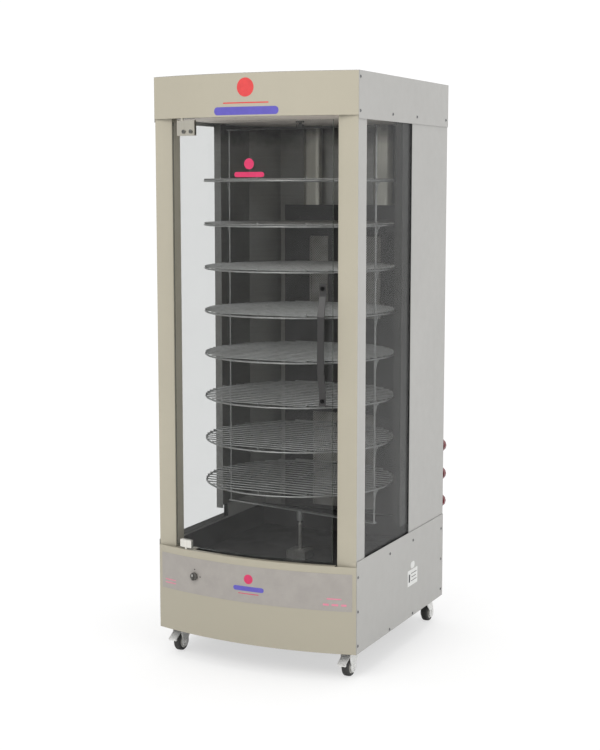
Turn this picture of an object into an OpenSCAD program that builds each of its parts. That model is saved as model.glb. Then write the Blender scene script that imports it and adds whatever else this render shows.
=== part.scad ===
// Vertical gas rotisserie cabinet: bowed-front sheet-metal cabinet on four
// swivel casters, with a pivoting curved glass door, two side windows and a
// motor-driven carousel of round wire shelves in front of three burners.
// Origin: centre of the footprint, on the floor. Front faces -Y, +Z is up.

/* [Cabinet] */
// Overall width of the cabinet skins
body_w = 680; // [660:5:720]
// Depth from the front corners to the rear panel
body_d = 732; // [728:1:745]
// How far the front bows out in the middle
bow = 50; // [46:1:54]
// Height of the cabinet without casters
cabinet_h = 1715; // [1712:1:1760]
// Height of the base's front panel
base_front_h = 267; // [262:1:270]
// Height of the base's side panels
base_side_h = 283; // [280:1:286]
// Height of the hood's front panel
hood_front_h = 126; // [124:1:130]
// Height of the hood's side skirts
hood_side_h = 136; // [134:1:140]
// Thickness of the outer sheet metal
sheet = 1.2; // [1:0.1:1.2]

/* [Door and windows] */
// Half width of the curved door glass
door_half = 266; // [262:1:268]
// Thickness of the door glass
door_glass_t = 6; // [5:0.5:6]
// Distance of the door's pivot from the middle
pivot_x = 230; // [226:1:232]
// Radius of the door's pivot pins
pivot_r = 4; // [3:0.5:4]
// Distance of the door handle from the middle
handle_x = 238; // [236:1:244]
// Length of the door handle
handle_l = 360; // [330:1:380]
// Height of the handle's lower end above the floor
handle_z = 832; // [780:1:900]
// Thickness of the side window glass
side_glass_t = 4; // [3:0.5:4]
// Front edge of the side window opening
window_y0 = 62; // [60:1:64]
// Rear edge of the side window opening
window_y1 = 420; // [415:1:425]

/* [Carousel] */
// Distance of the carousel's axis behind the front corners
axis_y = 317; // [315:1:318]
// Radius of the shelf ring, at the middle of its wire
ring_r = 300.5; // [299:0.5:300.5]
// Radius of the ring wire
ring_wire = 3; // [2.5:0.5:3]
// Radius of the shelf bars
bar_wire = 2; // [1.8:0.1:2.2]
// Pitch of the shelf bars
bar_pitch = 33; // [32.5:0.1:33.2]
// Number of bars on each side of the middle one
bar_n = 8; // [6:1:8]
// Distance of the outer cross wires from the middle
cross_x = 144; // [120:1:150]
// Height of the lowest shelf above the floor
shelf_z0 = 537; // [530:1:540]
// Distance between shelves
shelf_dz = 135.9; // [130:0.1:136]
// Radius at which the two carousel uprights stand
upright_r = 290; // [288:0.5:290]
// Angle of the carousel's crossbars at rest
upright_a = -11.5; // [-13:0.1:-11]
// Radius of the drive spindle
spindle_r = 6; // [5.5:0.5:6]

/* [Controls] */
// Height of the motor switch above the floor
switch_z = 273; // [268:1:276]
// Distance of the motor switch to the left of the middle
switch_x = 192; // [180:1:200]
// Radius of the gas knobs
knob_r = 23; // [18:0.5:24]
// Distance of the gas knobs to the right of the middle
knob_x = 316; // [314:1:317]

/* [Casters] */
// Overall height of a caster
caster_h = 85; // [85:1:85]
// Radius of a wheel
wheel_r = 31; // [29:0.5:31]
// Width of a wheel's tread
wheel_w = 22; // [18:1:22]
// Trail of a caster
trail = 22; // [20:1:22]
// Distance of the front casters from the middle
front_caster_x = 293; // [285:1:295]
// Distance of the front casters behind the front corners
front_caster_y = 72; // [70:1:74]
// Distance of the rear casters from the middle
rear_caster_x = 300; // [290:1:302]
// Distance of the rear casters behind the front corners
rear_caster_y = 672; // [668:1:674]

/* [Hidden] */
$fn = 96;
bar_gap = 0.1;
cross_wire = ring_wire - 0.5;

hw = body_w / 2;
rb = (hw * hw + bow * bow) / (2 * bow);     // radius of the bowed front
yc = rb - bow;                              // centre of the bow
z0 = caster_h;                              // underside of the cabinet
zt = z0 + cabinet_h;                        // top of the hood
zbf = z0 + base_front_h;
zbs = z0 + base_side_h;
zhf = zt - hood_front_h;
zhs = zt - hood_side_h;
zf = z0 + 190;                              // floor pan
rgo = rb - 3;                               // door glass, outer face
rgi = rgo - door_glass_t;
zg0 = zbf + 11;
zg1 = zhf - 11;
ha = asin(handle_x / rgo);
front_r = 1184.984127;                      // from the bow's centre to the handle's front
handle_hw = 10;                             // half the handle's width
handle_out = (front_r - handle_hw * sin(ha)) / cos(ha) - rgo;
y_front = yc - front_r;
y_back = body_d + 34;
ym = (y_front + y_back) / 2;
pr = rgo - door_glass_t / 2;
pivot_y = yc - sqrt(pr * pr - pivot_x * pivot_x);
skin_x = hw - 2.5;                          // posts and side panels, outer face
gx1 = skin_x - sheet - 1.3;                 // side glass, outer face
gx0 = gx1 - side_glass_t;
liner_x = gx0 - 0.1;
liner_y0 = 357;
liner_y1 = 706;
tail_x = 262;
valve_z = [408, 502, 599];
beige = [0.72, 0.70, 0.63];
grey = [0.70, 0.70, 0.69];
dark = [0.24, 0.24, 0.24];
steel = [0.62, 0.62, 0.60];

function arc_y(x, r) = yc - sqrt(r * r - x * x);

module place() translate([0, -ym, 0]) children();

// plan view of a band that follows the bow, between two x positions
module band(ro, ri, x1, x2) {
  intersection() {
    difference() {
      translate([0, yc]) circle(r = ro, $fn = 360);
      translate([0, yc]) circle(r = ri, $fn = 360);
    }
    translate([x1, -bow - 20]) square([x2 - x1, bow + 90]);
  }
}

// frame on the bowed surface: local -y points out, origin on radius r at x
module on_bow(x, z, r) {
  translate([0, yc, 0]) rotate([0, 0, asin(x / r)]) translate([0, -r, z]) children();
}

// rod between two points
module rod(a, b, r) {
  d = b - a;
  l = norm(d);
  translate(a) rotate([0, acos(d[2] / l), atan2(d[1], d[0])]) cylinder(r = r, h = l);
}

// plan outline shared by the floor pan and the ceiling, notched for the posts
module bay_plan(front, half, back, t) {
  intersection() {
    translate([0, yc]) circle(r = rb - front - t, $fn = 360);
    translate([-(274 - t), -bow - 20]) square([2 * (274 - t), 300]);
  }
  translate([-(half - t), 29 + t]) square([2 * (half - t), back - 29 - 2 * t]);
}

module slot2(l, w) {
  translate([-(l - w) / 2, 0]) circle(d = w);
  translate([(l - w) / 2, 0]) circle(d = w);
  square([l - w, w], center = true);
}

// ---------------------------------------------------------------- cabinet
module tube_x(x1, x2, y, z, s) difference() {
  translate([x1, y, z]) cube([x2 - x1, s, s]);
  translate([x1 - 1, y + 2, z + 2]) cube([x2 - x1 + 2, s - 4, s - 4]);
}

module tube_y(x, y1, y2, z, s) difference() {
  translate([x, y1, z]) cube([s, y2 - y1, s]);
  translate([x + 2, y1 - 1, z + 2]) cube([s - 4, y2 - y1 + 2, s - 4]);
}

module base_frame() color(dark) place() {
  for (s = [-1, 1]) {
    tube_y(s > 0 ? 305 : -335, 32, 712, z0 + 3.9, 30);
    translate([s > 0 ? 255 : -335, 32, z0]) cube([80, 80, 4]);
    translate([s > 0 ? 255 : -335, 632, z0]) cube([80, 80, 4]);
  }
  tube_x(-305.5, 305.5, 32, z0 + 3.9, 30);
  tube_x(-305.5, 305.5, 682, z0 + 3.9, 30);
}

module front_skin(za, zb, flange_z, hinge_z) {
  difference() {
    union() {
      translate([0, 0, za]) linear_extrude(zb - za) band(rb, rb - sheet, -hw + 1.3, hw - 1.3);
      for (s = [0, 1]) mirror([s, 0, 0])
        translate([hw - 2.4, 0.2, za]) cube([1.1, 24, zb - za]);
      translate([0, 0, flange_z]) linear_extrude(sheet) band(rb - 0.6, rb - 18, -272, 272);
      // doubler plate that carries the door pivot
      translate([0, 0, hinge_z]) linear_extrude(3) band(rb - 0.6, rb - 46, -pivot_x - 24, -pivot_x + 24);
    }
    translate([-pivot_x, pivot_y, hinge_z - 5]) cylinder(r = pivot_r + 0.05, h = 14);
  }
}

module base_front_panel() color(beige) place() difference() {
  union() {
    front_skin(z0, zbf, zbf - sheet, zbf - 3);
    translate([0, 0, z0]) linear_extrude(sheet) band(rb - 0.6, rb - 20, -250, 250);
  }
  on_bow(-switch_x, switch_z, rb) rotate([90, 0, 0]) translate([0, 0, -8]) cylinder(r = 6.1, h = 12);
}

module hood_front_panel() color(beige) place() front_skin(zhf, zt - sheet - 0.1, zhf, zhf);

base_screws = [[9, 25], [9, 130], [9, 235], [712, 25], [712, 130], [712, 235],
               [258, 251], [454, 251], [258, 8], [454, 8]];
hood_screws = [[9, 1601], [9, 1697], [254, 1601], [452, 1601], [710, 1601]];

module side_holes(list) for (p = list)
  translate([hw - 2, p[0], z0 + p[1]]) rotate([0, 90, 0]) cylinder(r = 2.1, h = 4);

module base_side() difference() {
  translate([hw - sheet, 0.9, z0]) cube([sheet, body_d - sheet - 1.1, base_side_h]);
  side_holes(base_screws);
}

module base_side_right() color(grey) place() base_side();
module base_side_left() color(grey) place() mirror([1, 0, 0]) base_side();

module base_rear_panel() color(grey) place() difference() {
  union() {
    translate([-hw + 1.3, body_d - sheet, z0]) cube([body_w - 2.6, sheet, base_side_h - 1]);
    for (s = [0, 1]) mirror([s, 0, 0])
      translate([hw - 2.5, body_d - 22, z0]) cube([1.1, 21.5, base_side_h - 1]);
  }
  translate([-214.2, body_d - 3, 170]) cube([28.4, 6, 20.4]);
  translate([296, body_d + 5, 150]) rotate([90, 0, 0]) cylinder(r = 7.5, h = 10);
  for (i = [0:5]) translate([-60, body_d - 3, 160 + 14 * i]) cube([120, 6, 5]);
}

module floor_pan() color(dark) place() difference() {
  union() {
    translate([0, 0, zf - sheet]) linear_extrude(sheet) bay_plan(19, 330, 700, 0);
    translate([0, 0, zf - sheet]) linear_extrude(zbf - 2 - zf) difference() {
      bay_plan(19, 330, 700, 0);
      bay_plan(19, 330, 700, sheet);
    }
  }
  translate([0, axis_y, zf - 5]) cylinder(r = 9, h = 10);
  // clearance for the plate under the door's lower pivot
  translate([-pivot_x - 26, -60, zbf - 8]) cube([52, 85, 10]);
}

module post_plan() polygon([
  [skin_x, window_y0], [skin_x, 2], [277, -2], [277, 46], [297, 46], [297, 44.8],
  [278.2, 44.8], [278.2, -0.7], [skin_x - sheet, 3.1], [skin_x - sheet, window_y0]]);

module corner_post() difference() {
  translate([0, 0, 300]) linear_extrude(zt - 310) post_plan();
  // the inner return stops short of the floor pan's rim and the ceiling panel
  translate([270, 27, 290]) cube([35, 30, 64]);
  translate([270, 27, zhf - 2]) cube([35, 30, 200]);
}
module corner_post_right() color(beige) place() corner_post();
module corner_post_left() color(beige) place() mirror([1, 0, 0]) corner_post();

module side_panel() {
  translate([skin_x - sheet, window_y1, 300]) cube([sheet, body_d - 1.4 - window_y1, zt - 310]);
  translate([skin_x - 12, body_d - 2.6, 372]) cube([12, sheet, zt - 382]);
}
module side_panel_right() color(grey) place() side_panel();
module side_panel_left() color(grey) place() mirror([1, 0, 0]) side_panel();

module rear_panel() color(grey) place() difference() {
  translate([-skin_x, body_d - sheet, zbs + 0.2]) cube([2 * skin_x, sheet, zt - zbs - 1.6]);
  for (z = valve_z) translate([knob_x, body_d + 5, z]) rotate([90, 0, 0]) cylinder(r = 6, h = 10);
  for (s = [-1, 1]) for (i = [0:9])
    translate([s * 140 - 70, body_d - 3, 760 + 24 * i]) cube([140, 6, 8]);
  for (s = [-1, 1]) for (i = [0:6])
    translate([s * 140 - 70, body_d - 3, 1460 + 24 * i]) cube([140, 6, 8]);
}

module hood_cover() color(grey) place() difference() {
  union() {
    translate([0, 0, zt - sheet]) linear_extrude(sheet) intersection() {
      translate([0, yc]) circle(r = rb, $fn = 360);
      translate([-hw, -bow - 10]) square([body_w, body_d + bow + 10]);
    }
    for (s = [0, 1]) mirror([s, 0, 0])
      translate([hw - sheet, 0.9, zhs]) cube([sheet, body_d - 0.9, hood_side_h - 0.2]);
  }
  for (s = [0, 1]) mirror([s, 0, 0]) {
    side_holes(hood_screws);
    for (i = [0:5]) translate([129, 628 + 15 * i, zt - 3]) linear_extrude(6) slot2(110, 7);
  }
}

module flue_plan(x, w, d) translate([x, 686]) slot2(w, d);

module ceiling_panel() color([0.50, 0.47, 0.44]) place() translate([0, 0, zhf + 1.4])
  linear_extrude(sheet) difference() {
    bay_plan(47, gx0 - 1, 704, 0);
    translate([0, axis_y]) circle(r = 14);
    for (s = [-1, 1]) flue_plan(s * 129, 67, 35);
  }

module side_glass() translate([gx0, 45, 355]) cube([side_glass_t, 392, zhf + 6 - 355]);
module side_glass_right() color([0.35, 0.36, 0.36, 0.4]) place() side_glass();
module side_glass_left() color([0.35, 0.36, 0.36, 0.4]) place() mirror([1, 0, 0]) side_glass();

module glass_seals() color([0.08, 0.08, 0.08]) place() for (s = [0, 1]) mirror([s, 0, 0]) {
  translate([gx1 + 0.05, 46, 356]) cube([1.2, window_y0 + 3 - 46, zhf + 4 - 356]);
  translate([gx1 + 0.05, window_y1 - 3, 356]) cube([1.2, 17, zhf + 4 - 356]);
}

// ------------------------------------------------------- oven and gas side
module liner_plan(x, a) {
  // one half of the folded liner, sheet 1 mm
  polygon([[x - 24.4, liner_y0], [x, liner_y0], [x, 600], [tail_x, liner_y1], [a, liner_y1],
    [a, liner_y1 - 1], [tail_x - 0.5, liner_y1 - 1], [x - 1, 599.7], [x - 1, liner_y0 + 1],
    [x - 24.4, liner_y0 + 1]]);
}

module oven_liner() color([0.33, 0.33, 0.32]) place() difference() {
  union() {
    for (s = [0, 1]) mirror([s, 0, 0]) translate([0, 0, 399]) linear_extrude(zhf - 2 - 399)
      liner_plan(liner_x, -1);
    translate([-tail_x, liner_y1 - 1, 352]) cube([2 * tail_x, 1, 60]);
  }
  for (p = [[0, valve_z[0]], [97, 1100], [-97, 1100]])
    translate([p[0], liner_y1 + 3, p[1]]) rotate([90, 0, 0]) cylinder(r = 5, h = 8);
}

// burner openings: centre x, width, bottom, top
burner_list = [[0, 236, 372, 700], [-97, 68, 1029, 1304], [97, 68, 1029, 1304]];

module burner_box() color([0.26, 0.26, 0.26]) place() difference() {
  translate([-227, 667, 359]) cube([454, 37.8, 1050]);
  translate([-226, 668, 360]) cube([452, 40, 1048]);
  for (b = burner_list) translate([b[0] - b[1] / 2 - 0.4, 660, b[2] - 0.4])
    cube([b[1] + 0.8, 20, b[3] - b[2] + 0.8]);
  for (s = [-1, 1]) translate([0, 0, 1400]) linear_extrude(20) flue_plan(s * 129, 60, 28);
}

module burners() color([0.40, 0.40, 0.39]) place() for (b = burner_list) difference() {
  translate([b[0] - b[1] / 2, 664.5, b[2]]) cube([b[1], 28, b[3] - b[2]]);
  translate([b[0] - b[1] / 2 + 6, 660, b[2] + 6]) cube([b[1] - 12, 7.5, b[3] - b[2] - 12]);
  translate([b[0], 700, b[2] > 500 ? 1100 : valve_z[0]]) rotate([90, 0, 0]) cylinder(r = 4, h = 14);
}

module gas_manifold() color([0.72, 0.60, 0.32]) place() {
  // rail and inlet
  rod([296, 718, 150], [296, 718, 640], 7);
  translate([296, 718, 150]) sphere(r = 7);
  rod([296, 718, 150], [296, 752, 150], 7);
  difference() {
    rod([296, 750, 150], [296, 765, 150], 9);
    rod([296, 740, 150], [296, 770, 150], 4.5);
  }
  // feed pipes
  rod([292, 718, 408], [0, 718, 408], 3.5);
  translate([0, 718, 408]) sphere(r = 3.5);
  rod([0, 718, 408], [0, 690, 408], 3.5);
  rod([292, 713, 502], [97, 713, 502], 3.5);
  translate([97, 713, 502]) sphere(r = 3.5);
  rod([97, 713, 502], [97, 713, 1100], 3.5);
  translate([97, 713, 1100]) sphere(r = 3.5);
  rod([97, 713, 1100], [97, 690, 1100], 3.5);
  rod([292, 723, 599], [-97, 723, 599], 3.5);
  translate([-97, 723, 599]) sphere(r = 3.5);
  rod([-97, 723, 599], [-97, 723, 1100], 3.5);
  translate([-97, 723, 1100]) sphere(r = 3.5);
  rod([-97, 723, 1100], [-97, 690, 1100], 3.5);
}

module gas_valves() color([0.78, 0.66, 0.36]) place() for (z = valve_z) difference() {
  union() {
    translate([303.4, 705, z - 12]) cube([25, 20, 24]);
    translate([knob_x, 724, z]) rotate([-90, 0, 0]) cylinder(r = 8, h = 6);
  }
  translate([knob_x, 710, z]) rotate([-90, 0, 0]) cylinder(r = 4.05, h = 30);
}

module flue_ducts() color([0.44, 0.44, 0.42]) place() for (s = [-1, 1])
  translate([0, 0, 1409.2]) linear_extrude(zt - 14 - 1409.2) difference() {
    flue_plan(s * 129, 66, 34);
    flue_plan(s * 129, 64, 32);
  }

// ------------------------------------------------------------------ drive
module gearmotor() color([0.30, 0.31, 0.33]) place() translate([0, axis_y, 0]) {
  difference() {
    union() {
      translate([0, 0, 200]) cylinder(r = 45, h = 42);
      translate([0, 0, 124]) cylinder(r = 36, h = 80);
      translate([0, 0, 128]) for (i = [0:5]) translate([0, 0, 11 * i]) cylinder(r = 39, h = 5);
      translate([0, 0, 238]) cylinder(r = 14, h = 12);
      for (a = [45:90:315]) rotate([0, 0, a]) translate([38, 0, 230]) cylinder(r = 5, h = zf - sheet - 230.1);
    }
    translate([0, 0, 226]) cylinder(r = spindle_r + 0.05, h = 40);
  }
}

module hub_bearing() color([0.36, 0.36, 0.35]) place() translate([0, axis_y, 0]) difference() {
  union() {
    translate([-33, -33, zf + 0.1]) cube([66, 66, 26]);
    translate([0, 0, zf + 20]) cylinder(r = 17, h = 9.5);
  }
  translate([0, 0, zf - 5]) cylinder(r = spindle_r + 0.05, h = 40);
}

module top_bearing() color(steel) place() translate([0, axis_y, 0]) difference() {
  union() {
    translate([0, 0, zhf - 4]) cylinder(r = 13.8, h = 14);
    translate([0, 0, zhf + 1.4 + sheet + 0.05]) cylinder(r = 24, h = 3);
  }
  translate([0, 0, zhf - 10]) cylinder(r = 5.05, h = 40);
}

module drive_spindle() color([0.42, 0.42, 0.41]) place() translate([0, axis_y, 0]) {
  translate([0, 0, 230]) cylinder(r = spindle_r, h = 150);
  translate([0, 0, 384]) sphere(r = 6.8);
  translate([0, 0, 384]) cylinder(r = 4, h = 32);
}

module carousel_frame() color(steel) place() translate([0, axis_y, 0]) rotate([0, 0, upright_a]) {
  for (s = [0, 180]) rotate([0, 0, s]) {
    translate([upright_r, 0, 426]) cylinder(r = 3, h = zhf - 19 - 426);
    for (i = [0:7]) {
      z = shelf_z0 + i * shelf_dz;
      rod([upright_r - 1, 0, z - ring_wire - 2.55], [upright_r + 13, 0, z - ring_wire - 2.55], 2.5);
      rod([upright_r, 0, z - 42], [upright_r + 8, 0, z - ring_wire - 4], 2);
    }
  }
  translate([-upright_r - 4, -9, zhf - 23]) cube([2 * upright_r + 8, 18, 4]);
  translate([0, 0, zhf - 23]) cylinder(r = 5, h = 38);
  translate([0, 0, zhf - 23]) cylinder(r = 13, h = 12);
  difference() {
    union() {
      translate([-upright_r - 4, -9, 426]) cube([2 * upright_r + 8, 18, 4]);
      translate([0, 0, 396]) cylinder(r = 11, h = 34);
    }
    translate([0, 0, 390]) cylinder(r = 4.05, h = 30);
  }
}

// A weld joins a bar to the wire under it without the two wires cutting
// into each other.
module ring_weld(a) {
  rotate([0, 0, a - 0.3]) rotate_extrude(angle = 0.6)
    translate([ring_r - 1.2, ring_wire - 0.7]) square([2.4, 0.7 + bar_gap / 2]);
}

module bar_weld(z0) translate([-0.8, -0.8, z0]) cube([1.6, 1.6, ring_wire + bar_gap + 0.45 - z0]);

module shelf(i) color([0.70, 0.70, 0.69]) place()
  translate([0, axis_y, shelf_z0 + i * shelf_dz]) {
    rotate_extrude($fn = 180) translate([ring_r, 0]) circle(r = ring_wire, $fn = 48);
    for (k = [-bar_n:bar_n]) {
      y = k * bar_pitch;
      h = sqrt(ring_r * ring_r - y * y);
      translate([-h - 1, y, ring_wire + bar_wire + bar_gap]) rotate([0, 90, 0])
        cylinder(r = bar_wire, h = 2 * h + 2, $fn = 48);
      for (s = [-1, 1]) {
        ring_weld(atan2(y, s * h));
        translate([s * h, y, 0]) bar_weld(ring_wire - 0.1);
      }
      if (abs(k) < bar_n) for (x = [-cross_x, 0, cross_x])
        translate([x, y, 0]) bar_weld(cross_wire - 0.3);
      if (abs(k) == bar_n) translate([0, y, 0]) bar_weld(cross_wire - 0.3);
    }
    for (x = [-cross_x, 0, cross_x]) {
      h = sqrt(ring_r * ring_r - x * x);
      translate([x, h, 0.2]) rotate([90, 0, 0]) cylinder(r = cross_wire, h = 2 * h, $fn = 48);
      translate([x, 6.6 - h, 0.2]) cylinder(r = 1.9, h = 12, $fn = 48);
    }
  }

module shelf_1() shelf(0);
module shelf_2() shelf(1);
module shelf_3() shelf(2);
module shelf_4() shelf(3);
module shelf_5() shelf(4);
module shelf_6() shelf(5);
module shelf_7() shelf(6);
module shelf_8() shelf(7);

// ------------------------------------------------------------------- door
handle_screw_z = [handle_z + 15, handle_z + handle_l - 15];
clamp_screw_x = [-219, -192];

module door_glass() color([0.80, 0.84, 0.84, 0.3]) place() difference() {
  translate([0, 0, zg0]) linear_extrude(zg1 - zg0) band(rgo, rgi, -door_half, door_half);
  for (z = handle_screw_z) on_bow(handle_x, z, rgo) rotate([90, 0, 0])
    translate([0, 0, -12]) cylinder(r = 4.1, h = 20);
  for (x = clamp_screw_x) on_bow(x, zg1 - 29, rgo) rotate([90, 0, 0])
    translate([0, 0, -12]) cylinder(r = 4.1, h = 20);
}

module door_handle() color([0.22, 0.22, 0.23]) place() on_bow(handle_x, handle_z, rgo) difference() {
  o = handle_out;
  l = handle_l;
  rotate([90, 0, 90]) translate([0, 0, -handle_hw]) linear_extrude(2 * handle_hw) polygon([
    [-4.1, 0], [-4.1, 38], [-o, 96], [-o, l - 96], [-4.1, l - 38], [-4.1, l], [-0.1, l],
    [-0.1, l - 40], [-o + 4, l - 98], [-o + 4, 98], [-0.1, 40], [-0.1, 0]]);
  for (z = [15, l - 15]) translate([0, 5, z]) rotate([90, 0, 0]) cylinder(r = 3.2, h = 15);
}

module hinge_clamp_top() color([0.66, 0.64, 0.58]) place() {
  difference() {
    union() {
      translate([0, 0, zg1 - 41]) linear_extrude(42.5) band(rgo + 3.05, rgo + 0.05, -246, -179);
      translate([0, 0, zg1 - 41]) linear_extrude(42.5) band(rgi - 0.05, rgi - 3.05, -246, -179);
      translate([0, 0, zg1 + 0.1]) linear_extrude(4) band(rgo + 3.05, rgi - 3.05, -246, -179);
    }
    for (x = clamp_screw_x) on_bow(x, zg1 - 29, rgo) rotate([90, 0, 0])
      translate([0, 0, -12]) cylinder(r = 3.2, h = 20);
  }
  translate([-pivot_x, pivot_y, zg1 + 3]) cylinder(r = pivot_r, h = 16);
}

module hinge_clamp_bottom() color([0.72, 0.71, 0.67]) place() {
  translate([0, 0, zg0 - 4.1]) linear_extrude(24) band(rgo + 3.05, rgo + 0.05, -250, -206);
  translate([0, 0, zg0 - 4.1]) linear_extrude(24) band(rgi - 0.05, rgi - 3.05, -250, -206);
  translate([0, 0, zg0 - 4.1]) linear_extrude(4) band(rgo + 3.05, rgi - 3.05, -250, -206);
  translate([-pivot_x, pivot_y, zg0 - 17]) cylinder(r = pivot_r, h = 14);
}

// through bolt: grip thickness outside the glass, head and cap nut
module glass_bolt(o, i, hr) rotate([90, 0, 0]) {
  translate([0, 0, -door_glass_t - i - 0.1]) cylinder(r = 3, h = door_glass_t + i + o + 0.4);
  translate([0, 0, o + 0.1]) difference() {
    cylinder(r = hr, h = 3);
    translate([0, 0, 1]) cylinder(r = 2.6, h = 4, $fn = 6);
  }
  translate([0, 0, -door_glass_t - i - 4.1]) cylinder(r = hr, h = 4);
}

module door_screws() color([0.10, 0.10, 0.10]) place() {
  for (z = handle_screw_z) on_bow(handle_x, z, rgo) glass_bolt(4.1, 0, 6.5);
  for (x = clamp_screw_x) on_bow(x, zg1 - 29, rgo) glass_bolt(3.1, 3.1, 6);
}

// --------------------------------------------------------------- controls
module control_overlay() color([0.67, 0.65, 0.63]) place() difference() {
  translate([0, 0, z0 + 131]) linear_extrude(114) band(rb + 0.45, rb + 0.05, -327, 327);
  on_bow(-switch_x, switch_z, rb) rotate([90, 0, 0]) translate([0, 0, -8]) cylinder(r = 6.2, h = 12);
}

module switch_body() color([0.12, 0.12, 0.12]) place() on_bow(-switch_x, switch_z, rb) difference() {
  union() {
    translate([-14, 1.5, -14]) cube([28, 14, 28]);
    rotate([90, 0, 0]) translate([0, 0, -3]) cylinder(r = 5.9, h = 5);
  }
  rotate([90, 0, 0]) translate([0, 0, -12]) cylinder(r = 3.05, h = 20);
}

module switch_knob() color([0.10, 0.10, 0.10]) place() on_bow(-switch_x, switch_z, rb)
  rotate([90, 0, 0]) {
    translate([0, 0, -10]) cylinder(r = 3, h = 13);
    difference() {
      union() {
        translate([0, 0, 2.4]) cylinder(r = 12, h = 7);
        translate([0, 0, 9.4]) cylinder(r1 = 12, r2 = 10.5, h = 2);
        translate([-2.5, -10.2, 9]) cube([5, 20.4, 7]);
      }
      translate([-0.5, 3, 15]) cube([1, 8, 3]);
    }
  }

module valve_knob(i) color([0.60, 0.08, 0.10]) place() translate([knob_x, 0, valve_z[i]])
  rotate([-90, 0, 0]) {
    translate([0, 0, 714]) cylinder(r = 4, h = 28);
    difference() {
      union() {
        translate([0, 0, body_d + 8]) cylinder(r = knob_r, h = 18);
        translate([0, 0, body_d + 26]) cylinder(r1 = knob_r, r2 = knob_r - 3, h = 4);
        translate([-3.5, -knob_r + 4, body_d + 29]) cube([7, 2 * knob_r - 8, 5]);
      }
      for (a = [0:30:330]) rotate([0, 0, a + 15]) translate([knob_r + 3, 0, body_d + 12]) cylinder(r = 4, h = 30);
      translate([-0.6, -knob_r, body_d + 33]) cube([1.2, 12, 3]);
    }
  }
module valve_knob_1() valve_knob(0);
module valve_knob_2() valve_knob(1);
module valve_knob_3() valve_knob(2);

module pan_screw() rotate([0, 90, 0]) {
  translate([0, 0, -1.1]) cylinder(r = 2, h = 1.3);
  difference() {
    translate([0, 0, 0.05]) rotate_extrude() polygon([[0, 0], [4.6, 0], [4.4, 1], [3.2, 1.9], [0, 2.3]]);
    translate([-2.5, -0.5, 1.2]) cube([5, 1, 2]);
    translate([-0.5, -2.5, 1.2]) cube([1, 5, 2]);
  }
}

module panel_screws() color([0.75, 0.75, 0.74]) place() for (s = [0, 1]) mirror([s, 0, 0]) {
  for (p = base_screws) translate([hw, p[0], z0 + p[1]]) pan_screw();
  for (p = hood_screws) translate([hw, p[0], z0 + p[1]]) pan_screw();
}

module power_inlet() color([0.09, 0.09, 0.09]) place() difference() {
  union() {
    translate([-224, body_d + 0.1, 163]) cube([48, 2.5, 34]);
    translate([-214, body_d - 22, 170.2]) cube([28, 23, 20]);
  }
  translate([-211, body_d - 16, 173.2]) cube([22, 30, 14]);
}

// ---------------------------------------------------------------- casters
// positions: x, y, direction in which the wheel trails
casters = [[-front_caster_x, front_caster_y, -1], [front_caster_x, front_caster_y, -1],
           [-rear_caster_x, rear_caster_y, 1], [rear_caster_x, rear_caster_y, 1]];
kz = 66;   // underside of the fork crown

module caster_plates() color([0.68, 0.68, 0.67]) place() for (c = casters) translate([c[0], c[1], 0]) {
  translate([-30, -30, z0 - 2.6]) cube([60, 60, 2.5]);
  for (u = [-1, 1]) for (v = [-1, 1]) translate([23 * u, 23 * v, z0 - 5.6]) cylinder(r = 5, h = 3.2, $fn = 6);
  translate([0, 0, kz + 7.1]) cylinder(r = 20, h = z0 - 2.5 - kz - 7.1);
  translate([0, 0, kz - 4.9]) cylinder(r = 5, h = 20);
  translate([0, 0, kz - 5]) cylinder(r = 8.5, h = 4.9);
}

module fork_leg(brake) {
  // side view: y along the trail, z up
  polygon(brake
    ? [[-18, kz + 7], [-18, kz - 4], [trail - 16, wheel_r + 8], [trail + 16, wheel_r + 8], [46, kz - 9], [46, kz + 7]]
    : [[-18, kz + 7], [-18, kz - 4], [trail - 16, wheel_r + 8], [trail + 16, wheel_r + 8], [22, kz + 7]]);
  translate([trail, wheel_r]) circle(r = 18);
}

module fork(c, brake) color([0.74, 0.74, 0.73]) place() translate([c[0], c[1], 0])
  mirror([0, c[2] < 0 ? 1 : 0, 0]) {
    difference() {
      union() {
        translate([0, 0, kz]) cylinder(r = 21, h = 7);
        translate([-17, -8, kz]) cube([34, 30, 7]);
      }
      translate([0, 0, kz - 1]) cylinder(r = 5.05, h = 12);
    }
    for (s = [0, 1]) mirror([s, 0, 0])
      translate([14.5, 0, 0]) rotate([90, 0, 90]) linear_extrude(2.5) fork_leg(brake);
    translate([-19, trail, wheel_r]) rotate([0, 90, 0]) cylinder(r = 4, h = 38);
    for (s = [0, 1]) mirror([s, 0, 0])
      translate([16.9, trail, wheel_r]) rotate([0, 90, 0]) cylinder(r = 6.5, h = 3);
    if (brake) translate([-16, 40, kz]) rotate([0, 90, 0]) cylinder(r = 2.5, h = 32);
  }

module caster_fork_fl() fork(casters[0], true);
module caster_fork_fr() fork(casters[1], true);
module caster_fork_rl() fork(casters[2], false);
module caster_fork_rr() fork(casters[3], false);

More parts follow.
